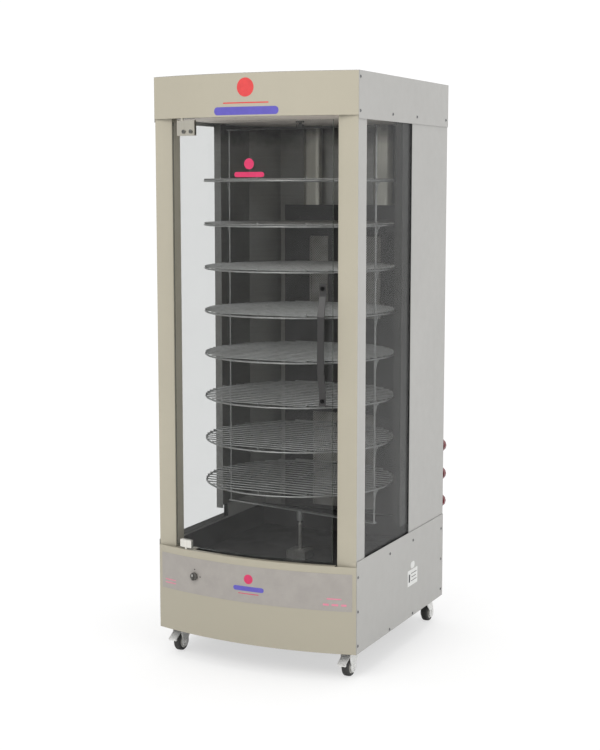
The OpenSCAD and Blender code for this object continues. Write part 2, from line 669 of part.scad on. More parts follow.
module wheel(c) color([0.17, 0.17, 0.18]) place()
  translate([c[0], c[1] + c[2] * trail, wheel_r]) rotate([0, 90, 0]) difference() {
    rotate_extrude() polygon([[4.05, -14.2], [9, -14.2], [10, -8], [20, -8], [22, -wheel_w / 2],
      [wheel_r - 3, -wheel_w / 2], [wheel_r - 0.6, -wheel_w / 2 + 3], [wheel_r, 0],
      [wheel_r - 0.6, wheel_w / 2 - 3], [wheel_r - 3, wheel_w / 2], [22, wheel_w / 2],
      [20, 8], [10, 8], [9, 14.2], [4.05, 14.2]]);
  }
module caster_wheel_fl() wheel(casters[0]);
module caster_wheel_fr() wheel(casters[1]);
module caster_wheel_rl() wheel(casters[2]);
module caster_wheel_rr() wheel(casters[3]);

module brake_pedal(c) color([0.66, 0.66, 0.66]) place() translate([c[0], c[1], 0])
  mirror([0, c[2] < 0 ? 1 : 0, 0]) translate([0, 40, kz]) {
    difference() {
      union() {
        rotate([0, 90, 0]) translate([0, 0, -13.8]) cylinder(r = 5, h = 27.6);
        rotate([-28, 0, 0]) translate([-13.5, 2.5, 1.2]) cube([27, 39.5, 3]);
        rotate([-28, 0, 0]) translate([-13.5, 36, -3]) cube([27, 6, 7.2]);
      }
      rotate([0, 90, 0]) translate([0, 0, -20]) cylinder(r = 2.55, h = 40);
      for (i = [0:3]) rotate([-28, 0, 0]) translate([-10, 12 + 6 * i, 3.4]) cube([20, 2.5, 3]);
    }
  }
module brake_pedal_fl() brake_pedal(casters[0]);
module brake_pedal_fr() brake_pedal(casters[1]);

base_frame();
base_front_panel();
base_side_left();
base_side_right();
base_rear_panel();
floor_pan();
corner_post_left();
corner_post_right();
side_panel_left();
side_panel_right();
rear_panel();
hood_front_panel();
hood_cover();
ceiling_panel();
side_glass_left();
side_glass_right();
glass_seals();
oven_liner();
burner_box();
burners();
gas_manifold();
gas_valves();
flue_ducts();
gearmotor();
hub_bearing();
top_bearing();
control_overlay();
switch_body();
panel_screws();
power_inlet();
caster_plates();
drive_spindle();
carousel_frame();
shelf_1();
shelf_2();
shelf_3();
shelf_4();
shelf_5();
shelf_6();
shelf_7();
shelf_8();
door_glass();
door_handle();
hinge_clamp_top();
hinge_clamp_bottom();
door_screws();
switch_knob();
valve_knob_1();
valve_knob_2();
valve_knob_3();
caster_fork_fl();
caster_fork_fr();
caster_fork_rl();
caster_fork_rr();
caster_wheel_fl();
caster_wheel_fr();
caster_wheel_rl();
caster_wheel_rr();
brake_pedal_fl();
brake_pedal_fr();
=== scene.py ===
import bpy
import bmesh
import math
import numpy as np
from mathutils import Vector, Matrix


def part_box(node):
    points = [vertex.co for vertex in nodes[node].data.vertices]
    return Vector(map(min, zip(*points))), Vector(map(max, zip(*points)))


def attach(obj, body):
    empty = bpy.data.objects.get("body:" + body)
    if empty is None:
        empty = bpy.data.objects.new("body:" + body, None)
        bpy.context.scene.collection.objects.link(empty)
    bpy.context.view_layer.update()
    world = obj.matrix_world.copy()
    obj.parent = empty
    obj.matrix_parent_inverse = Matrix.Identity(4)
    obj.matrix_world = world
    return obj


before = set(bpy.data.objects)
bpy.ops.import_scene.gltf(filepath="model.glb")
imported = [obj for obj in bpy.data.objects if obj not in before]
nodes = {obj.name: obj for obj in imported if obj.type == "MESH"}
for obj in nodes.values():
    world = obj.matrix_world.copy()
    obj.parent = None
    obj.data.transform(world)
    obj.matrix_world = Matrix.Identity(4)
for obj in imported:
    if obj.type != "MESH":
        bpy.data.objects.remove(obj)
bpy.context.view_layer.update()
scene = bpy.context.scene


# ---------------------------------------------------------------- colours
def lin(r, g, b):
    def f(c):
        c = c / 255.0
        return c / 12.92 if c <= 0.04045 else ((c + 0.055) / 1.055) ** 2.4
    return (f(r), f(g), f(b), 1.0)


def scaled(c, k):
    return (min(1.0, c[0] * k), min(1.0, c[1] * k), min(1.0, c[2] * k), 1.0)


class Graph:
    """A node material under construction."""

    def __init__(self, name):
        self.m = bpy.data.materials.new(name)
        self.m.use_nodes = True
        self.t = self.m.node_tree
        self.t.nodes.clear()
        self.out = self.add("ShaderNodeOutputMaterial")
        self.tc = self.add("ShaderNodeTexCoord")

    def add(self, kind, **kw):
        n = self.t.nodes.new(kind)
        for k, v in kw.items():
            setattr(n, k, v)
        return n

    def put(self, sock, v):
        if isinstance(v, bpy.types.NodeSocket):
            self.t.links.new(v, sock)
        else:
            sock.default_value = v

    def math(self, op, a, b=None, clamp=False):
        n = self.add("ShaderNodeMath", operation=op, use_clamp=clamp)
        self.put(n.inputs[0], a)
        if b is not None:
            self.put(n.inputs[1], b)
        return n.outputs[0]

    def coord(self, stretch=None, turn=None):
        v = self.tc.outputs["Object"]
        if stretch or turn:
            mp = self.add("ShaderNodeMapping")
            self.put(mp.inputs["Vector"], v)
            if turn:
                mp.inputs["Rotation"].default_value = turn
            if stretch:
                mp.inputs["Scale"].default_value = stretch
            v = mp.outputs[0]
        return v

    def noise(self, scale, detail=3.0, rough=0.55, stretch=None, warp=0.0):
        n = self.add("ShaderNodeTexNoise")
        self.put(n.inputs["Vector"], self.coord(stretch))
        n.inputs["Scale"].default_value = scale
        n.inputs["Detail"].default_value = detail
        n.inputs["Roughness"].default_value = rough
        n.inputs["Distortion"].default_value = warp
        return n.outputs["Fac"]

    def span(self, v, a, b, lo=0.0, hi=1.0):
        n = self.add("ShaderNodeMapRange", clamp=True)
        self.put(n.inputs["Value"], v)
        n.inputs["From Min"].default_value = a
        n.inputs["From Max"].default_value = b
        n.inputs["To Min"].default_value = lo
        n.inputs["To Max"].default_value = hi
        return n.outputs["Result"]

    def mix(self, fac, a, b, blend="MIX"):
        n = self.add("ShaderNodeMix", data_type="RGBA", blend_type=blend)
        self.put(n.inputs[0], fac)
        self.put(n.inputs[6], a)
        self.put(n.inputs[7], b)
        return n.outputs[2]

    def shade_top(self, col, z0, z1, dark):
        """Painted shade that thickens upwards between two heights, with an uneven front, for the shade just under the
        ceiling.
        """
        sep = self.add("ShaderNodeSeparateXYZ")
        self.put(sep.inputs[0], self.coord())
        z = self.math("ADD", sep.outputs[2], self.span(self.noise(9.0, 4.0, 0.6), 0.3, 0.7, -0.02, 0.02))
        return self.mix(self.span(z, z0, z1, 0.0, 0.85), col, dark)

    def edge(self, radius, gain=3.0):
        b = self.add("ShaderNodeBevel", samples=4)
        b.inputs["Radius"].default_value = radius
        g = self.add("ShaderNodeNewGeometry")
        d = self.add("ShaderNodeVectorMath", operation="DOT_PRODUCT")
        self.put(d.inputs[0], b.outputs[0])
        self.put(d.inputs[1], g.outputs["Normal"])
        m = self.math("MULTIPLY", self.math("SUBTRACT", 1.0, d.outputs["Value"]), gain, clamp=True)
        return b.outputs[0], m

    def bump(self, height, strength, distance, normal=None):
        n = self.add("ShaderNodeBump")
        n.inputs["Strength"].default_value = strength
        n.inputs["Distance"].default_value = distance
        self.put(n.inputs["Height"], height)
        if normal is not None:
            self.put(n.inputs["Normal"], normal)
        return n.outputs[0]

    def surface(self, **kw):
        p = self.add("ShaderNodeBsdfPrincipled")
        names = {"color": "Base Color", "rough": "Roughness", "metal": "Metallic", "normal": "Normal",
                 "coat": "Coat Weight", "coat_rough": "Coat Roughness", "spec": "Specular IOR Level",
                 "aniso": "Anisotropic", "sheen": "Sheen Weight", "emit": "Emission Color",
                 "emit_k": "Emission Strength"}
        for k, v in kw.items():
            if v is not None:
                self.put(p.inputs[names[k]], v)
        self.t.links.new(p.outputs[0], self.out.inputs["Surface"])
        return p


def paint(name, c, rough=0.42, var=0.03, peel=0.10, wear=0.35, dust=0.06, radius=0.0011, low_shade=None):
    """Powder-coated sheet: faint mottling, orange peel, rubbed edges, fine dust specks, and optional painted shade that
    darkens it towards the floor.
    """
    g = Graph(name)
    big = g.span(g.noise(2.6, 4.0, 0.5), 0.3, 0.7)
    mid = g.span(g.noise(30.0, 4.0, 0.6), 0.35, 0.7)
    streak = g.span(g.noise(1.0, 5.0, 0.6, stretch=(26.0, 26.0, 1.6)), 0.35, 0.75)
    fine = g.noise(750.0, 2.0, 0.5)
    col = g.mix(big, scaled(c, 1 - var), scaled(c, 1 + var))
    col = g.mix(g.math("MULTIPLY", mid, 0.10), col, scaled(c, 0.86))
    col = g.mix(g.math("MULTIPLY", streak, 0.07), col, scaled(c, 0.90))
    # painted shade: below the given heights the colour turns to a darker copy, for the lesser light low down
    if low_shade is not None:
        sep = g.add("ShaderNodeSeparateXYZ")
        g.put(sep.inputs[0], g.coord())
        z0, z1, low = low_shade
        col = g.mix(g.span(sep.outputs[2], z0, z1, 1.0, 0.0), col, low)
    speck = g.span(g.noise(420.0, 2.0, 0.5), 0.70, 0.78)
    col = g.mix(g.math("MULTIPLY", speck, dust), col, scaled(c, 0.55))
    nrm, mask = g.edge(radius)
    worn = g.math("MULTIPLY", g.math("MULTIPLY", mask, g.span(g.noise(60.0, 3.0), 0.35, 0.65, 0.25, 1.0)), wear)
    col = g.mix(worn, col, scaled(c, 1.32))
    r = g.math("ADD", g.math("ADD", rough, g.math("MULTIPLY", mid, 0.10)), g.math("MULTIPLY", streak, -0.05))
    n = g.bump(fine, peel, 0.00035, nrm)
    n = g.bump(g.noise(6.0, 2.0, 0.5), 0.06, 0.004, n)
    g.surface(color=col, rough=r, normal=n, spec=0.45)
    return g.m


def steel(name, c, rough=0.30, grain=(3.0, 3.0, 260.0), var=0.10, heat=0.0, metal=1.0, radius=0.0008, smear=0.12, wear=0.3, top_shade=None):
    """Brushed or rolled sheet steel, with grain along one direction, smears and optional heat tint."""
    g = Graph(name)
    lines = g.noise(1.0, 6.0, 0.65, stretch=grain)
    smudge = g.span(g.noise(9.0, 5.0, 0.6, warp=0.6), 0.40, 0.72)
    big = g.noise(2.0, 3.0, 0.5)
    col = g.mix(g.span(lines, 0.25, 0.75), scaled(c, 1 - var), scaled(c, 1 + var))
    col = g.mix(g.math("MULTIPLY", smudge, smear), col, scaled(c, 0.6))
    if heat:
        col = g.mix(g.math("MULTIPLY", g.span(big, 0.45, 0.75), heat), col, (c[0] * 0.9, c[1] * 0.72, c[2] * 0.5, 1.0))
    nrm, mask = g.edge(radius)
    col = g.mix(g.math("MULTIPLY", mask, wear), col, scaled(c, 1.5))
    # painted shade: the top of the sheet darkens just under the ceiling
    if top_shade:
        col = g.shade_top(col, top_shade[0], top_shade[1], lin(46, 44, 42))
    r = g.math("ADD", g.math("ADD", rough - 0.06, g.math("MULTIPLY", lines, 0.14)), g.math("MULTIPLY", smudge, 0.12))
    n = g.bump(lines, 0.10, 0.0002, nrm)
    n = g.bump(g.noise(4.0, 2.0), 0.10, 0.004, n)
    g.surface(color=col, rough=r, metal=metal, normal=n)
    return g.m


def plated(name, c, rough=0.28, var=0.12, cell=240.0, metal=1.0, grime=0.25, radius=0.0007, top_shade=None):
    """Zinc-plated or cast metal: fine spangle, dull grime in the hollows, bright edges."""
    g = Graph(name)
    v = g.add("ShaderNodeTexVoronoi")
    g.put(v.inputs["Vector"], g.coord())
    v.inputs["Scale"].default_value = cell
    sp = g.span(v.outputs["Distance"], 0.0, 0.7)
    fog = g.span(g.noise(45.0, 5.0, 0.65), 0.42, 0.70)
    col = g.mix(sp, scaled(c, 1 + var), scaled(c, 1 - var))
    col = g.mix(g.math("MULTIPLY", fog, grime), col, scaled(c, 0.45))
    nrm, mask = g.edge(radius)
    col = g.mix(g.math("MULTIPLY", mask, 0.5), col, scaled(c, 1.4))
    # painted shade: the top of the part darkens just under the ceiling
    if top_shade:
        col = g.shade_top(col, top_shade[0], top_shade[1], lin(40, 39, 38))
    r = g.math("ADD", rough, g.math("MULTIPLY", fog, 0.22))
    n = g.bump(g.noise(600.0, 3.0), 0.12, 0.0003, nrm)
    g.surface(color=col, rough=r, metal=metal, normal=n)
    return g.m


def plastic(name, c, rough=0.35, grain=900.0, bumps=0.12, var=0.06, wear=0.35, radius=0.0007, coat=0.0):
    """Moulded plastic or rubber: fine texture, scuffs, paler rubbed edges."""
    g = Graph(name)
    big = g.span(g.noise(22.0, 4.0, 0.6), 0.3, 0.7)
    scuff = g.span(g.noise(120.0, 4.0, 0.7, stretch=(1.0, 3.0, 0.6)), 0.58, 0.72)
    col = g.mix(big, scaled(c, 1 - var), scaled(c, 1 + var))
    pale = (min(1, c[0] * 1.3 + 0.03), min(1, c[1] * 1.3 + 0.03), min(1, c[2] * 1.3 + 0.03), 1.0)
    col = g.mix(g.math("MULTIPLY", scuff, 0.18), col, pale)
    nrm, mask = g.edge(radius)
    col = g.mix(g.math("MULTIPLY", mask, wear), col, pale)
    r = g.math("ADD", rough, g.math("MULTIPLY", big, 0.12))
    n = g.bump(g.noise(grain, 2.0), bumps, 0.0004, nrm)
    g.surface(color=col, rough=r, normal=n, coat=coat, coat_rough=0.15)
    return g.m


def glass(name, axis, keep, edge_col, haze=0.007):
    """Sheet glass: clear with Fresnel reflection and faint smears on the faces, green and denser on the cut edges."""
    g = Graph(name)
    geo = g.add("ShaderNodeNewGeometry")
    sep = g.add("ShaderNodeSeparateXYZ")
    g.put(sep.inputs[0], geo.outputs["True Normal"])
    # the body may turn, so the cut edge is told by the normal in object space
    vt = g.add("ShaderNodeVectorTransform", vector_type="NORMAL", convert_from="WORLD", convert_to="OBJECT")
    g.put(vt.inputs[0], geo.outputs["True Normal"])
    g.put(sep.inputs[0], vt.outputs[0])
    side = g.math("LESS_THAN", g.math("ABSOLUTE", sep.outputs[axis]), 0.7)
    lw = g.add("ShaderNodeLayerWeight")
    lw.inputs["Blend"].default_value = 0.5
    fres = g.math("ADD", 0.015, g.math("MULTIPLY", g.math("POWER", lw.outputs["Facing"], 5.0), 0.45))
    clear = g.add("ShaderNodeBsdfTransparent")
    clear.inputs[0].default_value = (keep[0], keep[1], keep[2], 1.0)
    gloss = g.add("ShaderNodeBsdfGlossy")
    gloss.inputs["Roughness"].default_value = 0.03
    g.put(gloss.inputs["Normal"], g.bump(g.noise(3.0, 2.0), 0.03, 0.002))
    m1 = g.add("ShaderNodeMixShader")
    g.put(m1.inputs[0], fres)
    g.t.links.new(clear.outputs[0], m1.inputs[1])
    g.t.links.new(gloss.outputs[0], m1.inputs[2])
    film = g.add("ShaderNodeBsdfDiffuse")
    film.inputs[0].default_value = (0.8, 0.82, 0.83, 1.0)
    m2 = g.add("ShaderNodeMixShader")
    smear = g.span(g.noise(11.0, 5.0, 0.65, warp=0.8), 0.40, 0.80, haze * 0.3, haze * 1.5)
    g.put(m2.inputs[0], smear)
    g.t.links.new(m1.outputs[0], m2.inputs[1])
    g.t.links.new(film.outputs[0], m2.inputs[2])
    rim = g.add("ShaderNodeBsdfPrincipled")
    g.put(rim.inputs["Base Color"], g.mix(g.noise(40.0), edge_col, scaled(edge_col, 1.3)))
    rim.inputs["Roughness"].default_value = 0.15
    m3 = g.add("ShaderNodeMixShader")
    g.put(m3.inputs[0], g.math("MULTIPLY", side, 0.60))
    g.t.links.new(m2.outputs[0], m3.inputs[1])
    g.t.links.new(rim.outputs[0], m3.inputs[2])
    g.t.links.new(m3.outputs[0], g.out.inputs["Surface"])
    return g.m


def ceramic(name):
    """Perforated burner tile: pale ceramic with rows of small holes coloured near black as painted shade inside them,
    browned towards the middle.
    """
    g = Graph(name)
    v = g.add("ShaderNodeTexVoronoi")
    v.inputs["Randomness"].default_value = 0.0
    g.put(v.inputs["Vector"], g.coord(stretch=(1.0, 0.001, 1.0), turn=(0.0, 0.785, 0.0)))
    v.inputs["Scale"].default_value = 170.0
    hole = g.span(v.outputs["Distance"], 0.22, 0.30, 1.0, 0.0)
    base = g.mix(g.span(g.noise(14.0, 4.0), 0.35, 0.7), lin(176, 175, 170), lin(136, 133, 128))
    # painted shade: the holes are coloured near black
    col = g.mix(hole, base, lin(34, 30, 28))
    nrm, mask = g.edge(0.0008)
    g.surface(color=col, rough=0.85, normal=g.bump(g.math("SUBTRACT", 1.0, hole), 0.5, 0.0008, nrm))
    return g.m


def enamel(name, c, rough=0.35, heat=0.0):
    """Dark vitreous enamel or baked sheet: glossy patches, dull burnt marks, speckle."""
    g = Graph(name)
    burn = g.span(g.noise(7.0, 6.0, 0.62, warp=0.5), 0.42, 0.70)
    speck = g.span(g.noise(330.0, 2.0), 0.66, 0.74)
    col = g.mix(g.math("MULTIPLY", burn, 0.35), c, scaled(c, 1.8))
    col = g.mix(g.math("MULTIPLY", speck, 0.10), col, scaled(c, 2.2))
    nrm, mask = g.edge(0.0010)
    col = g.mix(g.math("MULTIPLY", mask, 0.3), col, scaled(c, 2.6))
    r = g.math("ADD", rough, g.math("MULTIPLY", burn, 0.25))
    n = g.bump(g.noise(260.0, 3.0), 0.04, 0.0003, nrm)
    g.surface(color=col, rough=r, normal=n, spec=0.5)
    return g.m


def printed(name, c, rough=0.4):
    """Screen-printed ink: slightly uneven, faintly raised, with pinholes."""
    g = Graph(name)
    col = g.mix(g.span(g.noise(60.0, 4.0), 0.3, 0.7), scaled(c, 0.93), scaled(c, 1.07))
    pin = g.span(g.noise(900.0, 2.0), 0.74, 0.78)
    col = g.mix(g.math("MULTIPLY", pin, 0.3), col, lin(200, 195, 185))
    g.surface(color=col, rough=rough, normal=g.bump(g.noise(700.0, 2.0), 0.08, 0.0002))
    return g.m


BEIGE = lin(177, 171, 154)
GREY = lin(183, 182, 179)
M = {
    # the beige and grey paints carry painted shade that darkens them towards the floor
    "beige_paint": paint("beige_paint", BEIGE, rough=0.40, low_shade=(0.28, 0.42, scaled(BEIGE, 0.90))),
    "grey_paint": paint("grey_paint", GREY, rough=0.40, low_shade=(0.25, 0.85, scaled(GREY, 0.90))),
    "ceiling_paint": paint("ceiling_paint", lin(242, 232, 222), rough=0.5),
    "black_enamel": enamel("black_enamel", lin(58, 57, 56), rough=0.42),
    # liner and flue steel carry painted shade just under the ceiling
    "liner_steel": steel("liner_steel", lin(156, 156, 153), rough=0.36, grain=(5.0, 5.0, 240.0), heat=0.25, metal=0.85, top_shade=(1.60, 1.66)),
    "flue_steel": steel("flue_steel", lin(200, 199, 190), rough=0.34, grain=(220.0, 220.0, 3.0), heat=0.2, top_shade=(1.61, 1.67)),
    "burner_ceramic": ceramic("burner_ceramic"),
    "brass": plated("brass", lin(196, 160, 88), rough=0.25, grime=0.3),
    "motor_enamel": enamel("motor_enamel", lin(62, 66, 72)),
    "dark_steel": plated("dark_steel", lin(118, 117, 114), rough=0.38, metal=0.9),
    "zinc_steel": plated("zinc_steel", lin(196, 198, 200), rough=0.26),
    "caster_zinc": plated("caster_zinc", lin(238, 238, 236), rough=0.30, grime=0.08, metal=0.2),
    "wheel_rubber": plastic("wheel_rubber", lin(56, 56, 55), rough=0.55, bumps=0.25, wear=0.2),
    "shelf_wire": plated("shelf_wire", lin(160, 161, 160), rough=0.34, cell=500.0, grime=0.3, radius=0.0003),
    # the carousel frame carries painted shade just under the ceiling
    "frame_steel": plated("frame_steel", lin(160, 161, 160), rough=0.34, cell=500.0, grime=0.3, radius=0.0003, top_shade=(1.625, 1.65)),
    "screw_steel": plated("screw_steel", lin(132, 133, 134), rough=0.14, grime=0.3),
    "door_glass": glass("door_glass", 1, (0.938, 0.941, 0.940), lin(70, 80, 75)),
    "side_glass": glass("side_glass", 0, (0.888, 0.892, 0.891), lin(60, 68, 65)),
    "seal_rubber": plastic("seal_rubber", lin(38, 38, 38), rough=0.6, bumps=0.2, wear=0.1),
    "handle_black": plastic("handle_black", lin(46, 45, 45), rough=0.34, bumps=0.1),
    "hinge_satin": steel("hinge_satin", lin(196, 192, 180), rough=0.28, grain=(200.0, 200.0, 4.0)),
    "black_screw": plated("black_screw", lin(34, 34, 34), rough=0.3, grime=0.2),
    "overlay_grey": plastic("overlay_grey", lin(160, 155, 150), rough=0.45, bumps=0.08, wear=0.1, radius=0.0003),
    "black_plastic": plastic("black_plastic", lin(38, 38, 39), rough=0.32),
    "knob_grey": plastic("knob_grey", lin(80, 78, 75), rough=0.38),
    "hub_steel": plated("hub_steel", lin(158, 157, 153), rough=0.36, metal=0.9),
    "hinge_bright": steel("hinge_bright", lin(226, 224, 217), rough=0.32, grain=(200.0, 200.0, 4.0), metal=0.6),
    "red_plastic": plastic("red_plastic", lin(112, 14, 28), rough=0.28, bumps=0.06, wear=0.3, coat=0.3),
}
SLOTS = {
    "beige_paint": ["base_front_panel", "corner_post_left", "corner_post_right", "hood_front_panel"],
    "grey_paint": ["base_side_left", "base_side_right", "base_rear_panel", "side_panel_left", "side_panel_right",
                   "rear_panel", "hood_cover"],
    "ceiling_paint": ["ceiling_panel"],
    "black_enamel": ["floor_pan", "burner_box", "base_frame"],
    "liner_steel": ["oven_liner"],
    "flue_steel": ["flue_ducts"],
    "burner_ceramic": ["burners"],
    "brass": ["gas_manifold", "gas_valves"],
    "motor_enamel": ["gearmotor"],
    "dark_steel": ["top_bearing"],
    "hub_steel": ["hub_bearing", "drive_spindle"],
    "zinc_steel": ["caster_plates"],
    "screw_steel": ["panel_screws"],
    "caster_zinc": ["caster_fork_fl", "caster_fork_fr", "caster_fork_rl", "caster_fork_rr", "brake_pedal_fl", "brake_pedal_fr"],
    "wheel_rubber": ["caster_wheel_fl", "caster_wheel_fr", "caster_wheel_rl", "caster_wheel_rr"],
    "shelf_wire": ["shelf_%d" % i for i in range(1, 9)],
    "frame_steel": ["carousel_frame"],
    "door_glass": ["door_glass"],
    "side_glass": ["side_glass_left", "side_glass_right"],
    "seal_rubber": ["glass_seals"],
    "handle_black": ["door_handle"],
    "hinge_satin": ["hinge_clamp_top"],
    "hinge_bright": ["hinge_clamp_bottom"],
    "black_screw": ["door_screws"],
    "overlay_grey": ["control_overlay"],
    "black_plastic": ["switch_body", "power_inlet"],
    "knob_grey": ["switch_knob"],
    "red_plastic": ["valve_knob_1", "valve_knob_2", "valve_knob_3"],
}
for slot_name, members in SLOTS.items():
    for n in members:
        o = nodes[n]
        if len(o.material_slots) == 0:
            o.data.materials.append(M[slot_name])
        for s in o.material_slots:
            s.material = M[slot_name]
hub_mat = plastic("wheel_hub", lin(228, 227, 223), rough=0.42, bumps=0.06, wear=0.1)
for n in SLOTS["wheel_rubber"]:
    lo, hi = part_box(n)
    o = nodes[n]
    o.data.materials.append(hub_mat)
    cyw, czw, rw = (lo.y + hi.y) / 2, (lo.z + hi.z) / 2, (hi.z - lo.z) / 2
    for p in o.data.polygons:
        c = p.center
        if math.hypot(c.y - cyw, c.z - czw) < rw * 0.76:
            p.material_index = len(o.material_slots) - 1
# folded ends of the beige fronts carry the side skins' grey; the liner's outer side and its right front flange get a
# much darker copy of the liner steel, and its left front flange a less dark copy, both as painted shade
liner_shade_outer = steel("liner_shade_outer", lin(84, 84, 83), rough=0.45, grain=(5.0, 5.0, 240.0), heat=0.15, metal=0.8)
for n in ("base_front_panel", "hood_front_panel", "corner_post_left", "corner_post_right", "oven_liner"):
    o = nodes[n]
    liner = n == "oven_liner"
    o.data.materials.append(liner_shade_outer if liner else M["grey_paint"])
    k = len(o.material_slots) - 1
    for p in o.data.polygons:
        out = p.normal.x * (1 if p.center.x > 0 else -1)
        if out > 0.9 and (liner or abs(p.center.x) > 0.332):
            p.material_index = k
        # painted shade: the right front flange takes the dark outer copy, the left one the less dark flange copy
        if liner and p.normal.y < -0.9 and p.center.x > 0.29:
            p.material_index = k
        if liner and p.normal.y < -0.9 and p.center.x < -0.29:
            p.material_index = k + 1
    if liner:
        o.data.materials.append(steel("liner_shade_flange", lin(122, 122, 120), rough=0.40, grain=(5.0, 5.0, 240.0), heat=0.2,
                                      metal=0.85, top_shade=(1.60, 1.66)))
# the clamp bolts are plain steel, the handle's are blackened
o = nodes["door_screws"]
o.data.materials.append(plated("bolt_steel", lin(124, 124, 121), rough=0.3, grime=0.3))
for p in o.data.polygons:
    if p.center.z > 1.4:
        p.material_index = len(o.material_slots) - 1
left = [n for n in nodes if n not in sum(SLOTS.values(), [])]
if left:
    print("NODES WITHOUT A MATERIAL:", left)


# ---------------------------------------------------------- shape helpers
def link(name, me, body, mat, smooth=False):
    o = bpy.data.objects.new(name, me)
    scene.collection.objects.link(o)
    me.materials.append(mat)
    if smooth:
        for p in me.polygons:
            p.use_smooth = True
    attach(o, body)
    return o


def rounded(cx, cy, w, h, r, n=5):
    pts = []
    for (sx, sy, a0) in ((1, -1, -90), (1, 1, 0), (-1, 1, 90), (-1, -1, 180)):
        for k in range(n + 1):
            a = math.radians(a0 + 90.0 * k / n)
            pts.append((cx + sx * (w / 2 - r) + r * math.cos(a), cy + sy * (h / 2 - r) + r * math.sin(a)))
    return [pts]


def disc(cx, cy, r, n=40):
    return [[(cx + r * math.cos(2 * math.pi * k / n), cy + r * math.sin(2 * math.pi * k / n)) for k in range(n)]]


def ring(cx, cy, r0, r1, n=48, a0=0.0, a1=360.0):
    out = []
    for k in range(n):
        p = math.radians(a0 + (a1 - a0) * k / n)
        q = math.radians(a0 + (a1 - a0) * (k + 1) / n)
        out.append([(cx + r0 * math.cos(p), cy + r0 * math.sin(p)), (cx + r1 * math.cos(p), cy + r1 * math.sin(p)),
                    (cx + r1 * math.cos(q), cy + r1 * math.sin(q)), (cx + r0 * math.cos(q), cy + r0 * math.sin(q))])
    return out


def plate(name, outlines, place, thick, body, mat, cut=None):
    """A thin closed plate: outlines in (u, v) are laid on a surface by place(u, v, depth), 0 at the skin and thick at the face."""
    bm = bmesh.new()
    for pts in outlines:
        vs = [bm.verts.new((u, v, 0.0)) for u, v in pts]
        try:
            bm.faces.new(vs)
        except ValueError:
            pass
    bmesh.ops.remove_doubles(bm, verts=bm.verts[:], dist=1e-6)
    if cut:
        us = [v.co.x for v in bm.verts]
        u = math.floor(min(us) / cut) * cut
        while u < max(us):
            bmesh.ops.bisect_plane(bm, geom=bm.verts[:] + bm.edges[:] + bm.faces[:], plane_co=(u, 0, 0),
                                   plane_no=(1, 0, 0), dist=1e-7)
            u += cut
    bmesh.ops.recalc_face_normals(bm, faces=bm.faces[:])
    r = bmesh.ops.extrude_face_region(bm, geom=bm.faces[:])
    top = {v for v in r["geom"] if isinstance(v, bmesh.types.BMVert)}
    for v in bm.verts:
        v.co = Vector(place(v.co.x, v.co.y, thick if v in top else 0.0))
    bmesh.ops.recalc_face_normals(bm, faces=bm.faces[:])
    bmesh.ops.triangulate(bm, faces=[f for f in bm.faces if len(f.verts) > 4])
    me = bpy.data.meshes.new(name)
    bm.to_mesh(me)
    bm.free()
    return link(name, me, body, mat)


def islands(node):
    """Boxes of the separate lumps of a CAD node."""
    me = nodes[node].data
    co = np.array([v.co for v in me.vertices], float).reshape(-1, 3)
    key = {}
    same = np.zeros(len(co), int)
    for i, c in enumerate(co):
        same[i] = key.setdefault(tuple(np.round(c, 6)), len(key))
    par = list(range(len(key)))

    def find(a):
        while par[a] != a:
            par[a] = par[par[a]]
            a = par[a]
        return a
    for e in me.edges:
        a, b = find(same[e.vertices[0]]), find(same[e.vertices[1]])
        if a != b:
            par[a] = b
    groups = {}
    for i in range(len(co)):
        groups.setdefault(find(same[i]), []).append(i)
    return sorted((co[ix].min(0).tolist(), co[ix].max(0).tolist()) for ix in groups.values())


# ------------------------------------------------------------ placement
hood_lo, hood_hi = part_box("hood_front_panel")
base_lo, base_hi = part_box("base_front_panel")
glass_lo, glass_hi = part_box("door_glass")
over_lo, over_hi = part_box("control_overlay")
R_BOW = 1.181
CY = hood_lo.y + R_BOW


def on_bow(r):
    def place(u, v, d):
        rr = r + d
        return (u, CY - math.sqrt(rr * rr - u * u), v)
    return place


ink_red = printed("ink_red", lin(214, 66, 66))
ink_blue = printed("ink_blue", lin(92, 84, 178))
ink_magenta = printed("ink_magenta", lin(206, 46, 96))
ink_pink = printed("ink_pink", lin(214, 130, 150))
ink_dark = printed("ink_dark", lin(46, 46, 48))
ink_white = printed("ink_white", lin(228, 228, 224))

# a plain mark: a disc over a plain bar
hood_skin = on_bow(R_BOW + 0.00003)
zc = 1.7580
plate("hood_mark_disc", disc(0.0, zc, 0.0275), hood_skin, 0.00022, "cabinet", ink_red, cut=0.01)
plate("hood_mark_bar", rounded(0.0, 1.6905, 0.212, 0.0235, 0.0110, 6), hood_skin, 0.00022, "cabinet", ink_blue, cut=0.01)
plate("hood_mark_line", rounded(0.0, 1.7135, 0.150, 0.0035, 0.0016, 3), hood_skin, 0.00022, "cabinet", ink_red, cut=0.01)

